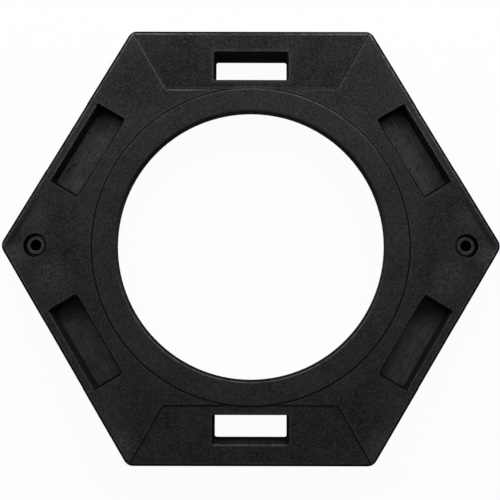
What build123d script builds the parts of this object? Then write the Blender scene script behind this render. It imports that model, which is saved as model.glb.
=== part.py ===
from build123d import *
from math import tan, radians
import os

# Delineator base: a hexagonal moulded rubber weight that drops over a traffic post.
# Millimetres, +Z up. The origin is on the post's axis, at the underside.
# X runs from tip to tip, and the two grip sides face +Y and -Y.

# Post ring: the round land that the post passes through
post_bore_d = 242.5        # diameter of the land that guides the post
post_land = 8.0            # height of that land, its lead-in included
post_flare = 12.0          # degrees that the bore opens out below the land
flange_step = 7.0          # the recess for the post's foot flange is this much wider than the flare
flange_depth = 9.0
ring_width = 22.75         # top width of the ring
ring_proud = 1.0           # how far the ring stands above the corner flats
ring_gap = 0.8             # open joint line between the ring and the body
ring_foot_width = 3.4      # foot of the ring, which catches under the body
ring_foot_height = 10.0
ring_foot_gap = 0.4
ring_edge = 1.0
bore_lead = 1.8            # lead-in chamfer at the top of the bore

# Body outline, from the ring outwards
slot_web = 7.7             # rubber between the ring's seat and a hand slot
slot_width = 26.0
slot_length = 67.5
slot_corner_r = 2.0
slot_edge_r = 1.5          # rounding of a hand slot's mouth
handle_bar = 20.3          # rubber between a hand slot and the grip side
grip_side = 221.0          # length of the two grip sides, corner to corner
tip_reach = 84.0           # from the ring's seat to the sharp tip
grip_corner_r = 11.0
tip_corner_r = 10.0

# Body heights: a nearly flat top whose border falls away to the sides
edge_height = 38.0
border_rise = 4.0
border_width = 56.0
hip_r = 1.0                # rounding of the border's inner corners
top_edge_r = 2.6
foot_chamfer = 1.0

# Grip panels: sunk, coarse areas round the hand slots
grip_recess = 1.6
panel_corner_r = 3.0
step_slope = 25.0          # degrees that the step round a panel leans out

# Pockets in the four slanting sides
pocket_length = 82.0
pocket_width = 29.0
pocket_wall = 9.0          # rubber between a pocket and the side
pocket_floor = 20.0        # thickness left under a pocket
pocket_corner_r = 2.0
pocket_edge = 1.0          # chamfer of a pocket's mouth
strip_drop = 0.8           # the strip outside a pocket lies this much lower
strip_slope = 68.0         # degrees that the ends of a strip lean out

# Anchor bushes: flanged sleeves for ground anchors near the tips
anchor_inset = 33.0        # from the sharp tip to the bush's axis
bush_bore_d = 10.0
bush_wall = 2.0
bush_flange_width = 1.5    # flange beyond the sleeve
bush_flange_t = 2.5
bush_fit = 0.1
bush_foot_gap = 1.0        # the sleeve ends above the underside
bush_edge = 0.6
counterbore_gap = 2.3      # open ring round the flange
counterbore_depth = 5.0

# Places that follow from the sizes above
flat_height = edge_height + border_rise
ring_top = flat_height + ring_proud
past = ring_top            # how far a cut runs past the body
bore_r = post_bore_d / 2
flare_r = bore_r + tan(radians(post_flare)) * (ring_top - post_land - flange_depth)
flange_r = flare_r + flange_step
ring_r = bore_r + ring_width
foot_r = ring_r + ring_foot_width
seat_r = ring_r + ring_gap
slot_y = seat_r + slot_web + slot_width / 2
half_flats = slot_y + slot_width / 2 + handle_bar
tip_x = seat_r + tip_reach
anchor_x = tip_x - anchor_inset
bush_r = bush_bore_d / 2
sleeve_r = bush_r + bush_wall
bush_flange_r = sleeve_r + bush_flange_width

corners = [
    Vector(tip_x, 0),
    Vector(grip_side / 2, half_flats),
    Vector(-grip_side / 2, half_flats),
    Vector(-tip_x, 0),
    Vector(-grip_side / 2, -half_flats),
    Vector(grip_side / 2, -half_flats),
]


def side_frame(index):
    # Frame at the middle of a side: X along the side, Y inwards, Z up
    start = corners[index]
    end = corners[(index + 1) % len(corners)]
    return Plane(origin=(start + end) * 0.5, x_dir=end - start, z_dir=(0, 0, 1))


def surface_height(inward):
    return edge_height + border_rise * inward / border_width


def border_plane(side):
    # The sloping face of the border: X along the side, Y up the slope
    uphill = side.y_dir * border_width + side.z_dir * border_rise
    return Plane(
        origin=side.origin + side.z_dir * edge_height,
        x_dir=side.x_dir,
        z_dir=side.x_dir.cross(uphill),
    )


def lowered_section(side, reach, drop):
    # Section of the space above a lowered stretch of border, rounded at the side
    low = edge_height - drop
    with BuildSketch(Plane(origin=side.origin, x_dir=side.y_dir, z_dir=side.x_dir)) as section:
        Polygon(
            (reach, 2 * past),
            (reach, surface_height(reach) - drop),
            (0, low),
            (0, low / 2),
            (-past, low / 2),
            (-past, 2 * past),
            align=None,
        )
        fillet(section.vertices().sort_by_distance((0, low))[0], top_edge_r)
    return section.sketch


def mouths(part):
    # Edges of the openings in faces that have just one
    open_faces = part.faces().filter_by(lambda face: len(face.inner_wires()) == 1)
    return [edge for face in open_faces for edge in face.inner_wires()[0].edges()]


pocket_frame = side_frame(0)
grip_frame = side_frame(1)
anchor_top = surface_height(pocket_frame.to_local_coords(Vector(anchor_x, 0)).Y)
bush_seat = anchor_top - counterbore_depth

# Rounded hexagon, and the smaller one where the border meets the flat top
with BuildSketch() as outline:
    Polygon(*corners, align=None)
    across = outline.vertices().group_by(Axis.Y)
    fillet(across[0] + across[-1], grip_corner_r)
    along = outline.vertices().group_by(Axis.X)
    fillet(along[0] + along[-1], tip_corner_r)

with BuildSketch() as flat_outline:
    Polygon(*corners, align=None)
    offset(amount=-border_width, kind=Kind.INTERSECTION, mode=Mode.REPLACE)
    hip_end = flat_outline.vertices().group_by(Axis.Y)[-1].sort_by(Axis.X)[-1].X
    fillet(flat_outline.vertices(), hip_r)

# Space above a sunk grip panel: the top of its sloping step follows the two hip lines
hip_run = (grip_side / 2 - hip_end) / border_width
with BuildPart() as grip_space:
    with BuildSketch(border_plane(grip_frame).offset(grip_recess)) as panel:
        Polygon(
            (-grip_side / 2 - hip_run * past, -past),
            (grip_side / 2 + hip_run * past, -past),
            (hip_end, border_width),
            (-hip_end, border_width),
            align=None,
        )
        fillet(panel.vertices().group_by(Axis.Y)[-1], panel_corner_r)
        offset(amount=grip_recess * tan(radians(step_slope)), kind=Kind.INTERSECTION, mode=Mode.REPLACE)
    extrude(amount=-past / 2, taper=step_slope)
    panel_section = lowered_section(grip_frame, border_width + past, grip_recess)
    extrude(panel_section, amount=grip_side, both=True, mode=Mode.INTERSECT)

# Pockets in the four slanting sides
with BuildPart() as pocket_space:
    with BuildSketch(pocket_frame.offset(pocket_floor)):
        with Locations((0, pocket_wall + pocket_width / 2)):
            RectangleRounded(pocket_length, pocket_width, pocket_corner_r)
    extrude(amount=past)
    mirror(about=Plane.YZ)
    mirror(about=Plane.XZ)

# Space above the lowered strips outside the pockets, with sloping ends
with BuildPart() as strip_space:
    with BuildSketch(border_plane(pocket_frame).offset(strip_drop)):
        with Locations((0, (pocket_wall + pocket_width - past) / 2)):
            Rectangle(pocket_length, pocket_wall + past)
        offset(amount=strip_drop * tan(radians(strip_slope)), kind=Kind.INTERSECTION, mode=Mode.REPLACE)
    extrude(amount=-2 * top_edge_r, taper=strip_slope)
    strip_section = lowered_section(pocket_frame, pocket_wall + pocket_width / 2, strip_drop)
    extrude(strip_section, amount=pocket_length, both=True, mode=Mode.INTERSECT)
    mirror(about=Plane.YZ)
    mirror(about=Plane.XZ)

with BuildPart() as base_body:
    with BuildSketch():
        add(outline.sketch)
    extrude(amount=edge_height)
    with BuildSketch(Plane.XY.offset(edge_height)):
        add(outline.sketch)
    with BuildSketch(Plane.XY.offset(flat_height)):
        add(flat_outline.sketch)
    loft(ruled=True)
    fillet(base_body.edges().group_by(Axis.Z)[2], top_edge_r)
    chamfer(base_body.faces().sort_by(Axis.Z)[0].edges(), foot_chamfer)

    # Sunk grip panels
    add(grip_space.part, mode=Mode.SUBTRACT)
    mirror(grip_space.part, about=Plane.XZ, mode=Mode.SUBTRACT)

    # Pockets with chamfered mouths, and the lowered strips outside them
    add(pocket_space.part, mode=Mode.SUBTRACT)
    chamfer(mouths(base_body), pocket_edge)
    add(strip_space.part, mode=Mode.SUBTRACT)

    # Hand slots with rounded mouths
    with BuildSketch():
        with GridLocations(0, 2 * slot_y, 1, 2):
            RectangleRounded(slot_length, slot_width, slot_corner_r)
    extrude(amount=past, mode=Mode.SUBTRACT)
    fillet(mouths(base_body), slot_edge_r)
    slot_ends = base_body.faces().sort_by(Axis.Z)[0].inner_wires()
    chamfer([edge for wire in slot_ends for edge in wire.edges()], foot_chamfer)

    # Seat for the post ring, with a wider rebate below for its foot
    with Locations(Location((0, 0, 0), (180, 0, 0))):
        CounterBoreHole(seat_r, foot_r + ring_foot_gap, ring_foot_height, depth=2 * past)

    # Anchor holes, counterbored from the top
    with Locations((-anchor_x, 0, anchor_top), (anchor_x, 0, anchor_top)):
        CounterBoreHole(sleeve_r + bush_fit, bush_flange_r + counterbore_gap, counterbore_depth)

# The ring goes in from below until its foot meets the body's ledge
with BuildPart() as post_ring:
    with BuildSketch(Plane.XZ) as ring_section:
        Polygon(
            (bore_r, ring_top),
            (ring_r, ring_top),
            (ring_r, ring_foot_height),
            (foot_r, ring_foot_height),
            (foot_r, 0),
            (flange_r, 0),
            (flange_r, flange_depth),
            (flare_r, flange_depth),
            (bore_r, ring_top - post_land),
            align=None,
        )
        chamfer(ring_section.vertices().sort_by_distance((bore_r, ring_top))[0], bore_lead)
        chamfer(ring_section.vertices().sort_by_distance((ring_r, ring_top))[0], ring_edge)
    revolve(axis=Axis.Z)

# Flanged sleeve that sits in its counterbore
with BuildPart() as right_anchor_bush:
    with BuildSketch(Plane.XZ.shift_origin((anchor_x, 0, 0))) as bush_section:
        Polygon(
            (bush_r, bush_foot_gap),
            (sleeve_r, bush_foot_gap),
            (sleeve_r, bush_seat),
            (bush_flange_r, bush_seat),
            (bush_flange_r, bush_seat + bush_flange_t),
            (bush_r, bush_seat + bush_flange_t),
            align=None,
        )
        upper = bush_section.vertices().group_by(Axis.Y)[-1]
        chamfer(upper, bush_edge)
    revolve(axis=Axis((anchor_x, 0, 0), (0, 0, 1)))

with BuildPart() as left_anchor_bush:
    mirror(right_anchor_bush.part, about=Plane.YZ)

pieces = {
    "base_body": base_body,
    "post_ring": post_ring,
    "left_anchor_bush": left_anchor_bush,
    "right_anchor_bush": right_anchor_bush,
}
os.makedirs("parts", exist_ok=True)
for name, piece in pieces.items():
    piece.part.label = name
    export_step(piece.part, f"parts/{name}.step")
    print(name, round(piece.part.volume / 1000, 1), "cm3")
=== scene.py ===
import bpy
import math
from mathutils import Matrix, Vector


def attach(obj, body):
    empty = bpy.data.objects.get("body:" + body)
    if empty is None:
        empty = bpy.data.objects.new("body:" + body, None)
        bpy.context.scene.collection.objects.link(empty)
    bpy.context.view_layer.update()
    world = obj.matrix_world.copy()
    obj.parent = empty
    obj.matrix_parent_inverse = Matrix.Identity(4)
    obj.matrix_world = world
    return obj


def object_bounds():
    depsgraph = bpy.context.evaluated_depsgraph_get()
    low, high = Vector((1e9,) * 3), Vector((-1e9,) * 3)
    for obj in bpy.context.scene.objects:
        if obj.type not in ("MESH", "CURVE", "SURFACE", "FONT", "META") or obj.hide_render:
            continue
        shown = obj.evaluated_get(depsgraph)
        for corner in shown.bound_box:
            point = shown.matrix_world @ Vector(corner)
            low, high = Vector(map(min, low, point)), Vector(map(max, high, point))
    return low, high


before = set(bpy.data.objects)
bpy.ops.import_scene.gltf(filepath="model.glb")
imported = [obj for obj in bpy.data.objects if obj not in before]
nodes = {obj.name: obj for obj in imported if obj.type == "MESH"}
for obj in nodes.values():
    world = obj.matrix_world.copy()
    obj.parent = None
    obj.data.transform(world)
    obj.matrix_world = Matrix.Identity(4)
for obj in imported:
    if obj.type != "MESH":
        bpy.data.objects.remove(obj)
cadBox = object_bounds()
mm = 0.001
print("frame loaded:", ", ".join(sorted(nodes)))


# small helpers for node trees
def addNode(tree, kind, **settings):
    node = tree.nodes.new(kind)
    for name, value in settings.items():
        setattr(node, name, value)
    return node


# numbers and tuples are set on a socket, outputs of other nodes are linked to it
def fillSocket(tree, socket, value):
    if isinstance(value, (int, float, tuple)):
        socket.default_value = value
    else:
        tree.links.new(value, socket)


def fillInputs(tree, node, **values):
    for name, value in values.items():
        fillSocket(tree, node.inputs[name.replace("_", " ")], value)


def mathNode(tree, operation, first, second=0.0, clamp=False):
    node = addNode(tree, "ShaderNodeMath", operation=operation, use_clamp=clamp)
    fillSocket(tree, node.inputs[0], first)
    fillSocket(tree, node.inputs[1], second)
    return node.outputs[0]


def multiply(tree, *factors):
    result = factors[0]
    for factor in factors[1:]:
        result = mathNode(tree, "MULTIPLY", result, factor)
    return result


def strongest(tree, *masks):
    result = masks[0]
    for mask in masks[1:]:
        result = mathNode(tree, "MAXIMUM", result, mask)
    return result


# sum of values, each given with its weight
def weigh(tree, *shares):
    terms = [multiply(tree, value, weight) for value, weight in shares]
    result = terms[0]
    for term in terms[1:]:
        result = mathNode(tree, "ADD", result, term)
    return result


# a soft change: where it starts and ends, and the result before and after it
def rangeNode(tree, value, fromMin, fromMax, toMin=0.0, toMax=1.0):
    node = addNode(tree, "ShaderNodeMapRange", interpolation_type="SMOOTHSTEP")
    fillInputs(tree, node, Value=value, From_Min=fromMin, From_Max=fromMax, To_Min=toMin, To_Max=toMax)
    return node.outputs[0]


# a plain number stands for a grey
def blendColour(tree, factor, first, second):
    node = addNode(tree, "ShaderNodeMix", data_type="RGBA")
    tree.links.new(factor, node.inputs["Factor"])
    for socket, value in zip((node.inputs[6], node.inputs[7]), (first, second)):
        if isinstance(value, float):
            value = (value, value, value, 1.0)
        fillSocket(tree, socket, value)
    return node.outputs[2]


def noiseNode(tree, vector, scale, **values):
    node = addNode(tree, "ShaderNodeTexNoise")
    fillInputs(tree, node, Vector=vector, Scale=scale, **values)
    return node.outputs[0]


def splitVector(tree, vector):
    parts = addNode(tree, "ShaderNodeSeparateXYZ")
    tree.links.new(vector, parts.inputs[0])
    return parts.outputs["X"], parts.outputs["Y"], parts.outputs["Z"]


# places turned about Z, then stretched so that noise on them becomes strokes
def strokePlace(tree, vector, turn, scale):
    turned = addNode(tree, "ShaderNodeVectorRotate", rotation_type="Z_AXIS")
    fillInputs(tree, turned, Vector=vector, Angle=turn)
    stretched = addNode(tree, "ShaderNodeMapping")
    fillInputs(tree, stretched, Vector=turned.outputs[0], Scale=scale)
    return stretched.outputs[0]


# a soft line where a value is near its middle, gone at the given width to either side
def lineMask(tree, value, middle, width):
    away = mathNode(tree, "ABSOLUTE", mathNode(tree, "SUBTRACT", value, middle))
    return rangeNode(tree, away, 0.45 * width, width, 1.0, 0.0)


# distance in plan from the place at x, y and from its mirror image at -x, y
def distanceFrom(tree, place, x, y):
    placeX, placeY = splitVector(tree, place)[:2]
    acrossX = mathNode(tree, "SUBTRACT", mathNode(tree, "ABSOLUTE", placeX), x)
    acrossY = mathNode(tree, "SUBTRACT", placeY, y)
    return mathNode(tree, "SQRT", weigh(tree, (acrossX, acrossX), (acrossY, acrossY)))


# sockets named Vector and Normal are vectors, the others are numbers
def newGroup(name, inputs, outputs):
    tree = bpy.data.node_groups.new(name, "ShaderNodeTree")
    kinds = {"Vector": "NodeSocketVector", "Normal": "NodeSocketVector"}
    for socketName, value in inputs.items():
        kind = kinds.get(socketName, "NodeSocketFloat")
        socket = tree.interface.new_socket(socketName, in_out="INPUT", socket_type=kind)
        if value is not None:
            socket.default_value = value
    for socketName in outputs:
        kind = kinds.get(socketName, "NodeSocketFloat")
        tree.interface.new_socket(socketName, in_out="OUTPUT", socket_type=kind)
    return tree, tree.nodes.new("NodeGroupInput").outputs, tree.nodes.new("NodeGroupOutput").inputs


def useGroup(tree, group, **values):
    node = addNode(tree, "ShaderNodeGroup", node_tree=group)
    fillInputs(tree, node, **values)
    return node.outputs


# crumb rubber grain: Height for bump, Speckle for tone, sparse pale Fleck and dark Pit;
# Size is a crumb in millimetres, Clump the share of coarser patches, Sparse how few crumbs are pale
crumbShape = {"clumpScale": 0.4, "contrast": (0.34, 0.66), "fineShare": 0.25, "speckle": (0.15, 0.85),
              "fleck": (0.95, 0.99), "pit": (0.93, 0.97), "domes": 0.2, "fine": 0.45, "clumps": 0.35}


def makeCrumbGrain():
    tree, given, result = newGroup(
        "crumbGrain",
        {"Vector": None, "Size": 0.8, "Clump": 0.3, "Sparse": 1.6},
        ("Height", "Speckle", "Fleck", "Pit"),
    )
    scale = mathNode(tree, "DIVIDE", 1 / mm, given["Size"])
    fine = noiseNode(tree, given["Vector"], scale, Detail=2.0, Roughness=0.7)
    clumps = noiseNode(tree, given["Vector"], multiply(tree, scale, crumbShape["clumpScale"]),
                       Detail=3.0, Roughness=0.65, Distortion=0.5)
    crumbs = addNode(tree, "ShaderNodeTexVoronoi", feature="F1")
    fillInputs(tree, crumbs, Vector=given["Vector"], Scale=scale)
    chance = addNode(tree, "ShaderNodeSeparateColor")
    tree.links.new(crumbs.outputs["Color"], chance.inputs[0])

    crumbTone = mathNode(tree, "POWER", chance.outputs["Red"], given["Sparse"])
    fineTone = rangeNode(tree, fine, *crumbShape["contrast"])
    share = crumbShape["fineShare"]
    grit = weigh(tree, (fineTone, share), (crumbTone, 1.0 - share))
    uneven = rangeNode(tree, clumps, *crumbShape["contrast"])
    speckle = weigh(tree, (uneven, given["Clump"]), (grit, mathNode(tree, "SUBTRACT", 1.0, given["Clump"])))
    domes = mathNode(tree, "SUBTRACT", 1.0, crumbs.outputs["Distance"])
    relief = weigh(tree, (domes, crumbShape["domes"]), (fine, crumbShape["fine"]),
                   (clumps, crumbShape["clumps"]))
    tree.links.new(relief, result["Height"])
    tree.links.new(rangeNode(tree, speckle, *crumbShape["speckle"]), result["Speckle"])
    tree.links.new(rangeNode(tree, chance.outputs["Green"], *crumbShape["fleck"]), result["Fleck"])
    tree.links.new(rangeNode(tree, chance.outputs["Blue"], *crumbShape["pit"]), result["Pit"])
    return tree


# marks of handling: soft Cloud patches of about Spread millimetres, and thin Scratch strokes turned by Turn
handlingShape = {"cloud": (0.30, 0.70), "stroke": (700.0, 90.0, 300.0),
                 "thin": (0.62, 0.74), "patchy": (0.46, 0.66)}


def makeHandlingMarks():
    tree, given, result = newGroup(
        "handlingMarks",
        {"Vector": None, "Spread": 45.0, "Turn": 0.0},
        ("Cloud", "Scratch"),
    )
    cloud = noiseNode(tree, given["Vector"], mathNode(tree, "DIVIDE", 1 / mm, given["Spread"]),
                      Detail=6.0, Roughness=0.68, Distortion=0.3)
    along = strokePlace(tree, given["Vector"], given["Turn"], handlingShape["stroke"])
    strokes = noiseNode(tree, along, 1.0, Detail=2.0, Distortion=0.6)
    thin = rangeNode(tree, strokes, *handlingShape["thin"])
    patchy = rangeNode(tree, cloud, *handlingShape["patchy"])
    tree.links.new(rangeNode(tree, cloud, *handlingShape["cloud"]), result["Cloud"])
    tree.links.new(multiply(tree, thin, patchy), result["Scratch"])
    return tree


# edges: Rub along outer edges, a broad Handled zone beside them, the Crevice mask of inner corners for
# painted shade, and Normal, the surface with its edges softened; Reach is in millimetres, and times
# multiplies it
edgeShape = {
    "Rub": {"times": 1.0, "range": (0.80, 0.985)},
    "Handled": {"times": 12.0, "range": (0.70, 1.0)},
    "CreviceShade": {"times": 1.0, "range": (0.50, 0.95)},
    "softened": 0.65, "samples": 6,
}


def makeEdgeRub():
    tree, given, result = newGroup("edgeRub", {"Reach": 1.8}, ("Rub", "Handled", "CreviceShade", "Normal"))
    reach = multiply(tree, given["Reach"], mm)
    samples = edgeShape["samples"]
    for name in ("Rub", "Handled", "CreviceShade"):
        shape = edgeShape[name]
        onEdge = name != "CreviceShade"
        closed = addNode(tree, "ShaderNodeAmbientOcclusion", samples=samples,
                         inside=onEdge, only_local=onEdge)
        tree.links.new(multiply(tree, reach, shape["times"]), closed.inputs["Distance"])
        tree.links.new(rangeNode(tree, closed.outputs["AO"], *shape["range"], 1.0, 0.0), result[name])
    softened = addNode(tree, "ShaderNodeBevel", samples=samples)
    tree.links.new(multiply(tree, reach, edgeShape["softened"]), softened.inputs["Radius"])
    tree.links.new(softened.outputs[0], result["Normal"])
    return tree


# how a face lies: Level is high on flat tops and floors up to the Turnover, Upright is high on walls,
# Steep also on the lower half of a rounded edge
tiltShape = {"sharpness": 12.0, "upright": (0.05, 0.25), "steep": (0.35, 0.65)}


def makeFaceTilt():
    tree, given, result = newGroup("faceTilt", {"Turnover": 0.9}, ("Level", "Upright", "Steep"))
    surface = addNode(tree, "ShaderNodeNewGeometry")
    rise = mathNode(tree, "ABSOLUTE", splitVector(tree, surface.outputs["Normal"])[2])
    over = multiply(tree, mathNode(tree, "SUBTRACT", rise, given["Turnover"]), tiltShape["sharpness"])
    tree.links.new(mathNode(tree, "ADD", over, 0.5, clamp=True), result["Level"])
    tree.links.new(rangeNode(tree, rise, *tiltShape["upright"], 1.0, 0.0), result["Upright"])
    tree.links.new(rangeNode(tree, rise, *tiltShape["steep"], 1.0, 0.0), result["Steep"])
    return tree


crumbGrain = makeCrumbGrain()
handlingMarks = makeHandlingMarks()
edgeRub = makeEdgeRub()
faceTilt = makeFaceTilt()
print("shared effects made: crumb grain, handling marks, edge rub, face tilt")


def startMaterial(name):
    material = bpy.data.materials.new(name)
    material.use_nodes = True
    tree = material.node_tree
    place = addNode(tree, "ShaderNodeTexCoord").outputs["Object"]
    return material, tree, tree.nodes["Principled BSDF"], place


# grain as bump, a quarter as strong on rubbed edges
def addBump(tree, shader, height, depth, edge):
    bump = addNode(tree, "ShaderNodeBump")
    calmed = rangeNode(tree, edge["Rub"], 0.0, 1.0, 1.0, 0.25)
    fillInputs(tree, bump, Distance=depth, Strength=calmed, Height=height, Normal=edge["Normal"])
    tree.links.new(bump.outputs[0], shader.inputs["Normal"])


# smoother, slightly bluish floors of the four pockets, with strokes along them and hairline cracks
pocketFloor = {
    "height": 20.0 * mm, "reach": (0.3 * mm, 0.6 * mm), "cover": 0.75,
    "dark": (0.0222, 0.0222, 0.0234, 1.0), "pale": (0.0725, 0.0725, 0.0765, 1.0),
    "turn": math.radians(-120.8), "stroke": (45.0, 700.0, 1.0), "strokeTone": (0.3, 0.7, 0.25, 1.0),
    "patch": 9.0 * mm, "patchTone": (0.3, 0.6, 0.45, 1.0),
    "crack": 0.0045, "crackSize": 17.0 * mm, "crackWidth": (0.008, 0.035),
    "gap": 7.0 * mm, "gapTone": (0.5, 0.6, 0.0, 0.9), "wanderSize": 6.0 * mm, "wander": 4.0 * mm,
    "frontToRear": (-20.0 * mm, 20.0 * mm, 0.35, 1.0),
}


def addPocketFloors(tree, place, colour):
    x, y, z = splitVector(tree, place)
    away = mathNode(tree, "ABSOLUTE", mathNode(tree, "SUBTRACT", z, pocketFloor["height"]))
    onFloor = rangeNode(tree, away, *pocketFloor["reach"], 1.0, 0.0)

    # one corner's place for all four, kept different by the signs of x and y
    folded = addNode(tree, "ShaderNodeCombineXYZ")
    corner = weigh(tree, (mathNode(tree, "SIGN", x), 1.0), (mathNode(tree, "SIGN", y), 2.3))
    fillInputs(tree, folded, X=mathNode(tree, "ABSOLUTE", x), Y=mathNode(tree, "ABSOLUTE", y), Z=corner)
    along = strokePlace(tree, folded.outputs[0], pocketFloor["turn"], pocketFloor["stroke"])
    strokes = noiseNode(tree, along, 1.0, Detail=4.0, Roughness=0.6, Distortion=0.5)
    patches = noiseNode(tree, place, 1 / pocketFloor["patch"], Detail=4.0, Roughness=0.65)
    tone = multiply(tree, rangeNode(tree, strokes, *pocketFloor["strokeTone"]),
                    rangeNode(tree, patches, *pocketFloor["patchTone"]))
    floorColour = blendColour(tree, tone, pocketFloor["dark"], pocketFloor["pale"])

    # cracks along the borders of bent cells, broken here and there
    wander = addNode(tree, "ShaderNodeTexNoise")
    fillInputs(tree, wander, Vector=place, Scale=1 / pocketFloor["wanderSize"], Detail=2.0)
    small = addNode(tree, "ShaderNodeVectorMath", operation="SCALE")
    fillInputs(tree, small, Scale=pocketFloor["wander"], Vector=wander.outputs["Color"])
    bentPlace = addNode(tree, "ShaderNodeVectorMath", operation="ADD")
    tree.links.new(place, bentPlace.inputs[0])
    tree.links.new(small.outputs[0], bentPlace.inputs[1])
    cracks = addNode(tree, "ShaderNodeTexVoronoi", feature="DISTANCE_TO_EDGE")
    fillInputs(tree, cracks, Vector=bentPlace.outputs[0], Scale=1 / pocketFloor["crackSize"])
    thin = rangeNode(tree, cracks.outputs["Distance"], *pocketFloor["crackWidth"], 1.0, 0.0)
    gaps = noiseNode(tree, place, 1 / pocketFloor["gap"], Detail=2.0)
    broken = rangeNode(tree, gaps, *pocketFloor["gapTone"])
    atRear = rangeNode(tree, y, *pocketFloor["frontToRear"])
    floorColour = blendColour(tree, multiply(tree, thin, broken, atRear), floorColour, pocketFloor["crack"])
    return blendColour(tree, multiply(tree, onFloor, pocketFloor["cover"]), colour, floorColour)


# pale scuffs round the anchor holes, at the tips, on the corners and on the rear panel;
# each place is x, y, reach and strength, and counts on both sides of the middle
scuffs = {
    "places": (
        (180.0 * mm, -28.0 * mm, 26.0 * mm, 0.85),
        (214.0 * mm, -9.0 * mm, 17.0 * mm, 0.90),
        (197.0 * mm, 25.0 * mm, 18.0 * mm, 0.45),
        (92.0 * mm, 187.0 * mm, 30.0 * mm, 0.30),
        (130.0 * mm, -152.0 * mm, 34.0 * mm, 0.30),
        (119.0 * mm, -181.0 * mm, 24.0 * mm, 1.00),
        (34.0 * mm, 188.0 * mm, 34.0 * mm, 0.30),
    ),
    "core": 0.15, "pale": 0.060, "patch": 3.0 * mm, "patchTone": (0.36, 0.68, 0.2, 0.9),
    "fleck": 1.4 * mm, "fleckTone": (0.4, 0.62, 0.3, 1.15),
}


def addScuffs(tree, place, colour):
    patches = noiseNode(tree, place, 1 / scuffs["patch"], Detail=5.0, Roughness=0.7)
    flecks = noiseNode(tree, place, 1 / scuffs["fleck"], Detail=1.0)
    uneven = multiply(tree, rangeNode(tree, patches, *scuffs["patchTone"]),
                      rangeNode(tree, flecks, *scuffs["fleckTone"]))
    for x, y, reach, strength in scuffs["places"]:
        away = distanceFrom(tree, place, x, y)
        near = rangeNode(tree, away, scuffs["core"] * reach, reach, strength, 0.0)
        colour = blendColour(tree, multiply(tree, near, uneven), colour, scuffs["pale"])
    return colour


# rim of the outline: a painted dark line of shade round it, pale wear inside that which is also a painted
# highlight, most along the rear side and at its corners, and a painted dark band of shade beside it from each
# tip to the rear
rimWear = {
    "gripY": 198.8 * mm, "side": 196.6 * mm, "slant": (0.8594, 0.5114),
    "line": 2.3 * mm, "wearAndEdgeLight": 4.4 * mm, "shadeAndDirt": 0.0012, "pale": 0.125,
    "patch": 4.5 * mm, "patchTone": (0.38, 0.64, 0.15, 1.0),
    "frontToRear": (0.10, 0.85), "leftToRight": (-60.0 * mm, 90.0 * mm, 0.85, 1.1),
    "rearBand": (186.0 * mm, 192.0 * mm), "rearCorners": (20.0 * mm, 92.0 * mm, -0.45, 1.3),
    "cornerFill": 0.32,
    "rimShade": (3.0 * mm, 6.75 * mm, 10.5 * mm), "rimShadeStart": (-0.4 * mm, 0.4 * mm, 0.0, 0.6),
    "rimShadeEnd": (27.5 * mm, 55.0 * mm),
}


# how far a place is inside the slanted sides, and inside the whole outline
def outlineGaps(tree, x, y):
    outY = mathNode(tree, "ABSOLUTE", y)
    slantX, slantY = rimWear["slant"]
    slanted = weigh(tree, (mathNode(tree, "ABSOLUTE", x), slantX), (outY, slantY))
    sideGap = mathNode(tree, "SUBTRACT", rimWear["side"], slanted)
    gripGap = mathNode(tree, "SUBTRACT", rimWear["gripY"], outY)
    return sideGap, mathNode(tree, "MINIMUM", gripGap, sideGap)


def addRimWearLightAndShade(tree, place, colour):
    x, y = splitVector(tree, place)[:2]
    sideGap, gap = outlineGaps(tree, x, y)
    # painted shade: a dark band beside each slanted side, from the tip towards the rear
    near, middle, far = rimWear["rimShade"]
    rimShade = multiply(tree, rangeNode(tree, sideGap, near, middle),
                      rangeNode(tree, sideGap, middle, far, 1.0, 0.0),
                      rangeNode(tree, y, *rimWear["rimShadeStart"]),
                      rangeNode(tree, y, *rimWear["rimShadeEnd"], 1.0, 0.0))
    colour = blendColour(tree, rimShade, colour, rimWear["shadeAndDirt"])

    # pale wear, also a painted highlight, strongest at the rear and its corners
    rear = rangeNode(tree, y, -rimWear["gripY"], rimWear["gripY"], *rimWear["frontToRear"])
    corners = multiply(tree, rangeNode(tree, y, *rimWear["rearBand"]),
                       rangeNode(tree, mathNode(tree, "ABSOLUTE", x), *rimWear["rearCorners"]))
    across = mathNode(tree, "ADD", rangeNode(tree, x, *rimWear["leftToRight"]), corners)
    noise = noiseNode(tree, place, 1 / rimWear["patch"], Detail=4.0, Roughness=0.7)
    patches = strongest(tree, rangeNode(tree, noise, *rimWear["patchTone"]),
                        multiply(tree, corners, rimWear["cornerFill"]))
    band = rangeNode(tree, gap, rimWear["line"], rimWear["wearAndEdgeLight"], 1.0, 0.0)
    colour = blendColour(tree, multiply(tree, band, patches, rear, across), colour, rimWear["pale"])
    # painted shade: a dark line right round the rim
    line = rangeNode(tree, gap, 0.85 * rimWear["line"], 1.15 * rimWear["line"], 1.0, 0.0)
    return blendColour(tree, line, colour, rimWear["shadeAndDirt"])


# outer walls, drawn paler as a painted sheen, with dust along their foot
outerWall = {"reach": (1.0 * mm, 2.0 * mm), "dark": 0.0170, "pale": 0.0400, "dust": 0.056,
             "foot": (0.0, 12.0 * mm, 0.8, 0.0), "patch": 16.0 * mm, "patchTone": (0.35, 0.65, 0.1, 1.0)}


def addOuterWalls(tree, place, colour, tone, face):
    x, y, z = splitVector(tree, place)
    gap = outlineGaps(tree, x, y)[1]
    outside = multiply(tree, rangeNode(tree, gap, *outerWall["reach"], 1.0, 0.0), face["Steep"])
    # painted sheen: the outer walls are drawn paler than the top
    side = blendColour(tree, tone, outerWall["dark"], outerWall["pale"])
    patches = noiseNode(tree, place, 1 / outerWall["patch"], Detail=5.0, Roughness=0.65)
    foot = multiply(tree, rangeNode(tree, z, *outerWall["foot"]),
                    rangeNode(tree, patches, *outerWall["patchTone"]))
    side = blendColour(tree, foot, side, outerWall["dust"])
    return blendColour(tree, outside, colour, side)
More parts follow.
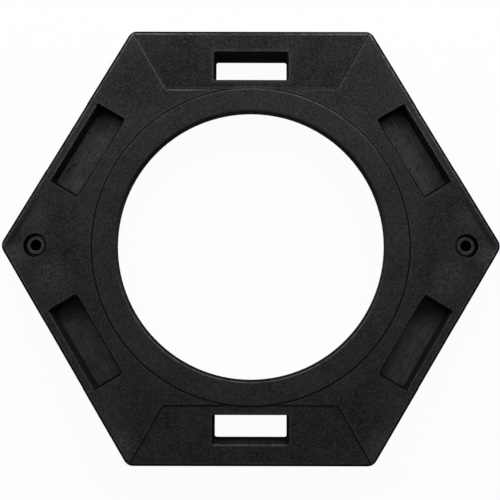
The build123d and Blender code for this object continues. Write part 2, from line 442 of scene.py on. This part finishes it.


# painted highlights along the front hand slot's mouth, the rear panel's left step and its inner edge,
# and a paler colour on the rear slot's outer wall
panelMarks = {
    "worn": 0.080, "step": 0.052, "dust": 0.045, "line": 1.0 * mm,
    "patch": 2.5 * mm, "patchTone": (0.38, 0.62, 0.3, 1.0),
    "slotWall": (172.0 * mm, 176.0 * mm), "slotHalf": (36.0 * mm, 37.0 * mm),
    "stepSlant": (-0.8666, -0.4990), "stepAt": -3.4 * mm,
    "stepStart": (143.0 * mm, 145.0 * mm), "stepEnd": (190.0 * mm, 193.0 * mm),
    "innerY": 142.3 * mm, "innerStart": (-78.0 * mm, -76.0 * mm), "innerEnd": (-60.0 * mm, -28.0 * mm),
    "mouthY": -179.4 * mm, "mouthHalf": (32.5 * mm, 34.0 * mm),
}


def addPanelMarks(tree, place, colour, tone, face):
    x, y = splitVector(tree, place)[:2]
    outX = mathNode(tree, "ABSOLUTE", x)
    width = panelMarks["line"]
    noise = noiseNode(tree, place, 1 / panelMarks["patch"], Detail=4.0)
    patches = rangeNode(tree, noise, *panelMarks["patchTone"])

    # the rear slot's outer wall is drawn paler
    inSlot = multiply(tree, rangeNode(tree, y, *panelMarks["slotWall"]),
                      rangeNode(tree, outX, *panelMarks["slotHalf"], 1.0, 0.0), face["Upright"])
    colour = blendColour(tree, inSlot, colour, panelMarks["dust"])

    # painted highlight lines on the rear panel's left step and inner edge and on the front slot's mouth
    slantX, slantY = panelMarks["stepSlant"]
    slant = weigh(tree, (x, slantX), (y, slantY))
    step = multiply(tree, lineMask(tree, slant, panelMarks["stepAt"], width), patches,
                    rangeNode(tree, y, *panelMarks["stepStart"]),
                    rangeNode(tree, y, *panelMarks["stepEnd"], 1.0, 0.0))
    colour = blendColour(tree, step, colour, panelMarks["step"])

    inner = multiply(tree, lineMask(tree, y, panelMarks["innerY"], width), patches,
                     rangeNode(tree, x, *panelMarks["innerStart"]),
                     rangeNode(tree, x, *panelMarks["innerEnd"], 1.0, 0.0))
    mouth = multiply(tree, lineMask(tree, y, panelMarks["mouthY"], width), patches,
                     rangeNode(tree, outX, *panelMarks["mouthHalf"], 1.0, 0.0))
    return blendColour(tree, strongest(tree, inner, mouth), colour, panelMarks["worn"])


# ring's edges: painted shade where the bore turns under at the rear, a painted highlight line in a painted
# dark one round its front, and a painted highlight on the outer edge, most at the rear right; widths are
# measured outwards from the bore
ringLightAndShade = {
    "bore": 121.25 * mm, "top": (40.8 * mm, 41.3 * mm), "dark": 0.0016, "pale": 0.080,
    "patch": 6.0 * mm, "patchTone": (0.36, 0.62, 0.35, 1.0),
    "rear": (-15.0 * mm, 80.0 * mm, 0.0, 0.92), "rearShade": (1.5 * mm, 4.0 * mm),
    "front": (-95.0 * mm, 0.0, 0.9, 0.0), "frontEdge": (0.9 * mm, 1.2 * mm),
    "lineAt": 1.8 * mm, "line": 0.9 * mm, "outerAt": 22.1 * mm,
    "outerRear": (60.0 * mm, 115.0 * mm), "outerRight": (-70.0 * mm, 60.0 * mm, 0.35, 1.0),
}


def addRingLightAndShade(tree, place, colour, tone, face):
    x, y, z = splitVector(tree, place)
    out = mathNode(tree, "SUBTRACT", distanceFrom(tree, place, 0.0, 0.0), ringLightAndShade["bore"])
    noise = noiseNode(tree, place, 1 / ringLightAndShade["patch"], Detail=4.0)
    patches = rangeNode(tree, noise, *ringLightAndShade["patchTone"])
    onTop = rangeNode(tree, z, *ringLightAndShade["top"])
    rear = multiply(tree, onTop, rangeNode(tree, y, *ringLightAndShade["rear"]))
    front = multiply(tree, onTop, rangeNode(tree, y, *ringLightAndShade["front"]))
    # painted shade along the bore's edge, broad at the rear and thin at the front
    for side, reach in ((rear, ringLightAndShade["rearShade"]), (front, ringLightAndShade["frontEdge"])):
        shade = multiply(tree, side, rangeNode(tree, out, *reach, 1.0, 0.0))
        colour = blendColour(tree, shade, colour, ringLightAndShade["dark"])
    # painted highlight lines round the front of the bore and on the outer edge
    inner = multiply(tree, front, patches, lineMask(tree, out, ringLightAndShade["lineAt"], ringLightAndShade["line"]))
    outer = multiply(tree, lineMask(tree, out, ringLightAndShade["outerAt"], ringLightAndShade["line"]), patches, onTop,
                     rangeNode(tree, y, *ringLightAndShade["outerRear"]),
                     rangeNode(tree, x, *ringLightAndShade["outerRight"]))
    return blendColour(tree, strongest(tree, inner, outer), colour, ringLightAndShade["pale"])


# counterbores of the anchor holes: shade that lies on the outer and rear side of each, dust on the rest
anchorMarks = {"x": 195.8 * mm, "reach": (10.7 * mm, 11.1 * mm), "dark": 0.0010, "dust": 0.042,
               "shadeFrom": (194.40 * mm, -1.05 * mm), "shade": (8.7 * mm, 9.7 * mm)}


def anchorShade(tree, place):
    return rangeNode(tree, distanceFrom(tree, place, *anchorMarks["shadeFrom"]), *anchorMarks["shade"])


def addAnchorMarks(tree, place, colour, tone, face):
    away = distanceFrom(tree, place, anchorMarks["x"], 0.0)
    within = rangeNode(tree, away, *anchorMarks["reach"], 1.0, 0.0)
    seat = blendColour(tree, anchorShade(tree, place), anchorMarks["dust"], anchorMarks["dark"])
    return blendColour(tree, within, colour, seat)


# moulded rubber of the body, the ring and the grip panels, with a bloom of wax on its level faces;
# clear weakens the edge rub, wear that is also a painted highlight, by the distance from the post's axis, and
# the front share weakens it and the painted crevice shade on the front panel
rubberFinish = {
    "body": {
        "dark": 0.0051, "pale": 0.0304, "worn": 0.060, "wall": 0.0170, "turned": 0.0018,
        "grain": 0.85, "clump": 0.3, "bumpDepth": 0.22 * mm, "cloud": 42.0, "turn": 0.9, "turnover": 0.88,
        "rub": 0.75, "handled": 0.10, "clear": (146.0 * mm, 152.0 * mm, 0.15, 1.0), "frontRub": 0.3,
        "bloom": 0.05, "shine": 0.08, "rough": (0.62, 0.72),
    },
    "ring": {
        "dark": 0.0116, "pale": 0.0338, "worn": 0.060, "wall": 0.0260, "turned": 0.0025,
        "grain": 0.85, "clump": 0.25, "bumpDepth": 0.16 * mm, "cloud": 30.0, "turn": 2.2, "turnover": 0.60,
        "rub": 0.30, "handled": 0.0, "clear": (130.0 * mm, 138.0 * mm, 1.0, 0.2), "frontRub": 1.0,
        "bloom": 0.05, "shine": 0.08, "rough": (0.60, 0.68),
    },
    "grip": {
        "dark": 0.0018, "pale": 0.0268, "worn": 0.036, "wall": 0.0170, "turned": 0.0025,
        "grain": 0.8, "clump": 0.0, "bumpDepth": 0.3 * mm, "cloud": 25.0, "turn": 0.3, "turnover": 0.80,
        "rub": 0.0, "handled": 0.0, "clear": (0.0, 1.0, 1.0, 1.0), "frontRub": 1.0,
        "bloom": 0.05, "shine": 0.0, "rough": (0.66, 0.74),
    },
}
rubberFinish["dustyGrip"] = {**rubberFinish["grip"], "dark": 0.0066, "pale": 0.0342}

# wear, and painted shade in inner corners, that all the rubber has in common
rubberWearAndShade = {"reach": 1.8, "cloud": 0.25, "fleck": 0.3, "scratch": 0.3, "pit": 0.35, "creviceShade": 0.9,
              "rubTone": (0.2, 0.7), "leastRub": 0.4,
              "front": (-145.0 * mm, -140.0 * mm), "anchors": (12.0 * mm, 14.5 * mm, 0.2, 1.0)}


def rubberMaterial(name, finish, extras=(), marks=()):
    material, tree, shader, place = startMaterial(name)
    grain = useGroup(tree, crumbGrain, Vector=place, Size=finish["grain"], Clump=finish["clump"])
    handling = useGroup(tree, handlingMarks, Vector=place, Spread=finish["cloud"], Turn=finish["turn"])
    edge = useGroup(tree, edgeRub, Reach=rubberWearAndShade["reach"])
    face = useGroup(tree, faceTilt, Turnover=finish["turnover"])
    cloudy = rubberWearAndShade["cloud"]
    tone = weigh(tree, (handling["Cloud"], cloudy), (grain["Speckle"], 1.0 - cloudy))
    colour = blendColour(tree, tone, finish["dark"], finish["pale"])

    # pale rubbed edges, wear that is also a painted highlight, weaker beside the ring, on the front panel and
    # round the anchor holes
    clear = rangeNode(tree, distanceFrom(tree, place, 0.0, 0.0), *finish["clear"])
    front = rangeNode(tree, splitVector(tree, place)[1], *rubberWearAndShade["front"], finish["frontRub"], 1.0)
    beside = rangeNode(tree, distanceFrom(tree, place, anchorMarks["x"], 0.0), *rubberWearAndShade["anchors"])
    most = finish["rub"]
    strength = rangeNode(tree, tone, *rubberWearAndShade["rubTone"], rubberWearAndShade["leastRub"] * most, most)
    rubbedAndHighlit = multiply(tree, edge["Rub"], strength, clear, front, beside)
    wearAndEdgeLight = strongest(tree, multiply(tree, grain["Fleck"], rubberWearAndShade["fleck"]),
                     multiply(tree, handling["Scratch"], rubberWearAndShade["scratch"]),
                     multiply(tree, edge["Handled"], finish["handled"]), rubbedAndHighlit)
    colour = blendColour(tree, wearAndEdgeLight, colour, finish["worn"])
    for addExtra in extras:
        colour = addExtra(tree, place, colour)

    # painted shade: faces steeper than the Turnover, such as chamfers, step slopes and the outer part of
    # rounded edges, take the near-black turned colour; upright walls then take the wall colour
    colour = blendColour(tree, face["Level"], finish["turned"], colour)
    colour = blendColour(tree, face["Upright"], colour, finish["wall"])
    # painted shade darkens the inner corners, less on the front panel, and the grain's pits are dark; both
    # take the turned colour
    shadeAndDirt = strongest(tree, multiply(tree, grain["Pit"], rubberWearAndShade["pit"]),
                     multiply(tree, edge["CreviceShade"], front, rubberWearAndShade["creviceShade"]))
    colour = blendColour(tree, shadeAndDirt, colour, finish["turned"])
    for addMark in marks:
        colour = addMark(tree, place, colour, tone, face)

    low, high = finish["rough"]
    wax = rangeNode(tree, edge["Rub"], 0.0, 1.0, finish["bloom"], finish["bloom"] + finish["shine"])
    fillInputs(tree, shader, Base_Color=colour,
               Roughness=rangeNode(tree, handling["Cloud"], 0.0, 1.0, high, low),
               Coat_Weight=multiply(tree, face["Level"], wax), Coat_Roughness=0.35, Specular_IOR_Level=0.0)
    addBump(tree, shader, grain["Height"], finish["bumpDepth"], edge)
    return material


# black coated steel of the anchor bushes, worn grey at the rim of the bore
bushFinish = {
    "coat": 0.0150, "dust": 0.034, "steel": 0.08, "bore": 0.0012,
    "grain": 0.9, "clump": 0.4, "bumpDepth": 0.2 * mm, "cloud": 6.0, "turn": 0.6, "turnover": 0.6,
    "reach": 0.9, "rimAt": 5.7 * mm, "rim": 1.1 * mm, "rimWear": 0.5, "bareTone": (0.3, 0.6, 0.2, 0.8),
    "shine": 0.08, "rough": (0.5, 0.65),
}


def bushMaterial():
    material, tree, shader, place = startMaterial("bushMetal")
    grain = useGroup(tree, crumbGrain, Vector=place, Size=bushFinish["grain"], Clump=bushFinish["clump"])
    handling = useGroup(tree, handlingMarks, Vector=place, Spread=bushFinish["cloud"],
                        Turn=bushFinish["turn"])
    edge = useGroup(tree, edgeRub, Reach=bushFinish["reach"])
    face = useGroup(tree, faceTilt, Turnover=bushFinish["turnover"])
    tone = weigh(tree, (handling["Cloud"], 0.5), (grain["Speckle"], 0.5))
    colour = blendColour(tree, tone, bushFinish["coat"], bushFinish["dust"])
    out = distanceFrom(tree, place, anchorMarks["x"], 0.0)
    rim = multiply(tree, lineMask(tree, out, bushFinish["rimAt"], bushFinish["rim"]), bushFinish["rimWear"])
    bare = multiply(tree, strongest(tree, edge["Rub"], rim),
                    rangeNode(tree, grain["Speckle"], *bushFinish["bareTone"]))
    colour = blendColour(tree, bare, colour, bushFinish["steel"])
    # painted shade on the outer and rear side of the flange, and near black on the faces that are not level,
    # the bore among them
    colour = blendColour(tree, anchorShade(tree, place), colour, anchorMarks["dark"])
    colour = blendColour(tree, face["Level"], bushFinish["bore"], colour)
    rough = rangeNode(tree, handling["Cloud"], 0.0, 1.0, *bushFinish["rough"])
    fillInputs(tree, shader, Base_Color=colour, Roughness=rough,
               Coat_Weight=multiply(tree, face["Level"], bushFinish["shine"]),
               Coat_Roughness=0.35, Specular_IOR_Level=0.0)
    addBump(tree, shader, grain["Height"], bushFinish["bumpDepth"], edge)
    return material


bodyRubber = rubberMaterial("bodyRubber", rubberFinish["body"], (addPocketFloors, addScuffs, addRimWearLightAndShade),
                            (addPanelMarks, addAnchorMarks, addOuterWalls))
ringRubber = rubberMaterial("ringRubber", rubberFinish["ring"], marks=(addRingLightAndShade,))
gripRubber = rubberMaterial("gripRubber", rubberFinish["grip"], (addScuffs, addRimWearLightAndShade))
dustyGripRubber = rubberMaterial("dustyGripRubber", rubberFinish["dustyGrip"], (addRimWearLightAndShade,))
bushMetal = bushMaterial()
finishes = {"base_body": bodyRubber, "post_ring": ringRubber,
            "left_anchor_bush": bushMetal, "right_anchor_bush": bushMetal}
for nodeName, material in finishes.items():
    nodes[nodeName].material_slots[0].material = material
print("finishes set on", len(finishes), "nodes")


# stippled skins of the two sunk grip panels, moulded on the body
gripSkin = {
    "step": 0.7 * mm, "outerY": 196.0 * mm, "innerY": 143.9 * mm,
    "outerHalf": 107.8 * mm, "innerHalf": 77.8 * mm,
    "slotHalf": 35.5 * mm, "slotLow": 150.7 * mm, "slotHigh": 180.3 * mm, "ringR": 145.6 * mm,
    "fade": 3.0 * mm, "sink": 0.12 * mm, "thickness": 0.8 * mm, "dropFrom": 10.0 * mm,
    "pebble": 2.0 * mm, "pebbleHeight": 0.34 * mm, "fine": 0.9 * mm, "fineHeight": 0.10 * mm,
}


# distance of a place from the rim of the textured field, negative outside it
def gripMargin(x, y):
    skin = gripSkin
    share = (skin["outerY"] - y) / (skin["outerY"] - skin["innerY"])
    half = skin["outerHalf"] + (skin["innerHalf"] - skin["outerHalf"]) * share
    slotGap = max(abs(x) - skin["slotHalf"], y - skin["slotHigh"], skin["slotLow"] - y)
    ringGap = math.hypot(x, y) - skin["ringR"]
    return min(half - abs(x), skin["outerY"] - y, y - skin["innerY"], ringGap, slotGap)


def addPebbles(piece, name, size, height, depth):
    texture = bpy.data.textures.new(name, "CLOUDS")
    texture.noise_scale = size
    texture.noise_depth = depth
    pebbles = piece.modifiers.new(name, "DISPLACE")
    pebbles.texture = texture
    pebbles.texture_coords = "LOCAL"
    pebbles.direction = "Z"
    pebbles.strength = height
    pebbles.mid_level = 0.0
    pebbles.vertex_group = "inside"
    bpy.ops.object.modifier_apply(modifier=name)


def makeGripSkin(name, sign, finish):
    skin = gripSkin
    width, depth = 2 * skin["outerHalf"], skin["outerY"] - skin["innerY"]
    above = cadBox[1].z + skin["dropFrom"]
    middle = (0, sign * (skin["outerY"] + skin["innerY"]) / 2, above)
    bpy.ops.object.select_all(action="DESELECT")
    bpy.ops.mesh.primitive_grid_add(x_subdivisions=round(width / skin["step"]),
                                    y_subdivisions=round(depth / skin["step"]), size=1, location=middle)
    piece = bpy.context.object
    piece.name = name
    piece.scale = (width, depth, 1)
    bpy.ops.object.transform_apply(location=True, rotation=True, scale=True)

    # cut the grid to the panel's outline
    bpy.ops.object.mode_set(mode="EDIT")
    bpy.ops.mesh.select_all(action="DESELECT")
    bpy.ops.object.mode_set(mode="OBJECT")
    for face in piece.data.polygons:
        face.select = gripMargin(face.center.x, sign * face.center.y) < 0
    bpy.ops.object.mode_set(mode="EDIT")
    bpy.ops.mesh.select_mode(type="FACE")
    bpy.ops.mesh.delete(type="FACE")
    bpy.ops.object.mode_set(mode="OBJECT")

    # lay it on the body, sunk at its rim, and raise the stipple
    laid = piece.modifiers.new("laid", "SHRINKWRAP")
    laid.target = nodes["base_body"]
    laid.wrap_method = "PROJECT"
    laid.use_project_z = True
    laid.use_negative_direction = True
    laid.use_positive_direction = False
    bpy.ops.object.modifier_apply(modifier="laid")
    inside = piece.vertex_groups.new(name="inside")
    for vertex in piece.data.vertices:
        share = min(1.0, max(0.0, gripMargin(vertex.co.x, sign * vertex.co.y) / skin["fade"]))
        inside.add([vertex.index], share, "REPLACE")
        vertex.co.z -= skin["sink"]
    addPebbles(piece, "pebbles", skin["pebble"], skin["pebbleHeight"], 1)
    addPebbles(piece, "grit", skin["fine"], skin["fineHeight"], 2)
    wall = piece.modifiers.new("wall", "SOLIDIFY")
    wall.thickness = skin["thickness"]
    wall.offset = -1
    bpy.ops.object.modifier_apply(modifier="wall")
    bpy.ops.object.shade_smooth()
    piece.data.materials.append(finish)
    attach(piece, "root")
    print(name, "made with", len(piece.data.polygons), "faces")


makeGripSkin("rear_grip_texture", 1, gripRubber)
makeGripSkin("front_grip_texture", -1, dustyGripRubber)


# rays that look at the background straight on, in a reflection or through glass
def seenRays(tree):
    rays = addNode(tree, "ShaderNodeLightPath").outputs
    return strongest(tree, rays["Is Camera Ray"], rays["Is Glossy Ray"], rays["Is Transmission Ray"])


def mixShaders(tree, factor, first, second, output):
    mixed = addNode(tree, "ShaderNodeMixShader")
    tree.links.new(factor, mixed.inputs["Fac"])
    tree.links.new(first.outputs[0], mixed.inputs[1])
    tree.links.new(second.outputs[0], mixed.inputs[2])
    tree.links.new(mixed.outputs[0], tree.nodes[output].inputs["Surface"])


# pale floor, white to the camera but for the dark under the anchor holes, with part of its shadow kept
floorFinish = {"size": 6.0, "colour": (0.80, 0.80, 0.80, 1), "white": 0.96, "whiteFrom": 0.5, "whiteTo": 1.5,
               "darkX": 195.8 * mm, "dark": (8.4 * mm, 12.0 * mm)}
bpy.ops.object.select_all(action="DESELECT")
bpy.ops.mesh.primitive_plane_add(size=floorFinish["size"])
floor = bpy.context.object
floor.name = "floor"
floorSheet = bpy.data.materials.new("floorSheet")
floorSheet.use_nodes = True
tree = floorSheet.node_tree
tree.nodes.remove(tree.nodes["Principled BSDF"])
paper = addNode(tree, "ShaderNodeBsdfDiffuse")
paper.inputs["Color"].default_value = floorFinish["colour"]
glow = addNode(tree, "ShaderNodeEmission")
place = addNode(tree, "ShaderNodeTexCoord").outputs["Object"]
lit = rangeNode(tree, distanceFrom(tree, place, floorFinish["darkX"], 0.0), *floorFinish["dark"])
white = rangeNode(tree, distanceFrom(tree, place, 0.0, 0.0), floorFinish["whiteFrom"], floorFinish["whiteTo"],
                  floorFinish["white"], 1.0)
mixShaders(tree, multiply(tree, seenRays(tree), lit, white), paper, glow, "Material Output")
floor.data.materials.append(floorSheet)

# soft room light, with a white backdrop to the camera and in reflections
roomLight = {"level": 0.105, "backdrop": 1.0}
world = bpy.data.worlds.new("studio")
bpy.context.scene.world = world
world.use_nodes = True
tree = world.node_tree
ambient = tree.nodes["Background"]
fillInputs(tree, ambient, Color=(1, 1, 1, 1), Strength=roomLight["level"])
backdrop = addNode(tree, "ShaderNodeBackground")
fillInputs(tree, backdrop, Color=(1, 1, 1, 1), Strength=roomLight["backdrop"])
mixShaders(tree, seenRays(tree), ambient, backdrop, "World Output")

# softboxes: where each stands, its width and depth, and its power in watts
softboxes = {
    "keyBox": {"place": (0.0, 0.38, 0.60), "size": (0.90, 0.28), "power": 2.7},
    "backBox": {"place": (0.45, 0.70, 0.70), "size": (0.85, 0.20), "power": 4.7},
    "sideBox": {"place": (-0.75, 0.55, 0.75), "size": (0.60, 0.30), "power": 3.7},
    "frontBox": {"place": (-0.10, -1.10, 0.26), "size": (1.20, 0.30), "power": 2.1},
}
for name, box in softboxes.items():
    bpy.ops.object.select_all(action="DESELECT")
    bpy.ops.object.light_add(type="AREA", location=box["place"])
    lamp = bpy.context.object
    lamp.name = name
    lamp.data.shape = "RECTANGLE"
    lamp.data.size, lamp.data.size_y = box["size"]
    lamp.data.energy = box["power"]
    lamp.visible_camera = False
    lamp.rotation_euler = Vector(box["place"]).to_track_quat("Z", "Y").to_euler()
print("floor, room light and", len(softboxes), "softboxes set")

# camera almost straight above, as the photograph was taken
photoCamera = {"place": (4.9 * mm, -36.1 * mm, 783.0 * mm), "tilt": 3.13, "roll": 0.11, "lens": 59.03,
               "sensor": 36.0, "shiftX": -0.0124, "shiftY": -0.0188}
cameraData = bpy.data.cameras.new("photoCamera")
camera = bpy.data.objects.new("photoCamera", cameraData)
bpy.context.scene.collection.objects.link(camera)
cameraData.sensor_width = photoCamera["sensor"]
cameraData.lens = photoCamera["lens"]
cameraData.shift_x = photoCamera["shiftX"]
cameraData.shift_y = photoCamera["shiftY"]
tilt = Matrix.Rotation(math.radians(photoCamera["tilt"]), 4, "X")
roll = Matrix.Rotation(math.radians(photoCamera["roll"]), 4, "Z")
camera.matrix_world = Matrix.Translation(photoCamera["place"]) @ tilt @ roll
bpy.context.scene.camera = camera
bpy.context.scene.view_settings.view_transform = "Standard"
print("camera set")
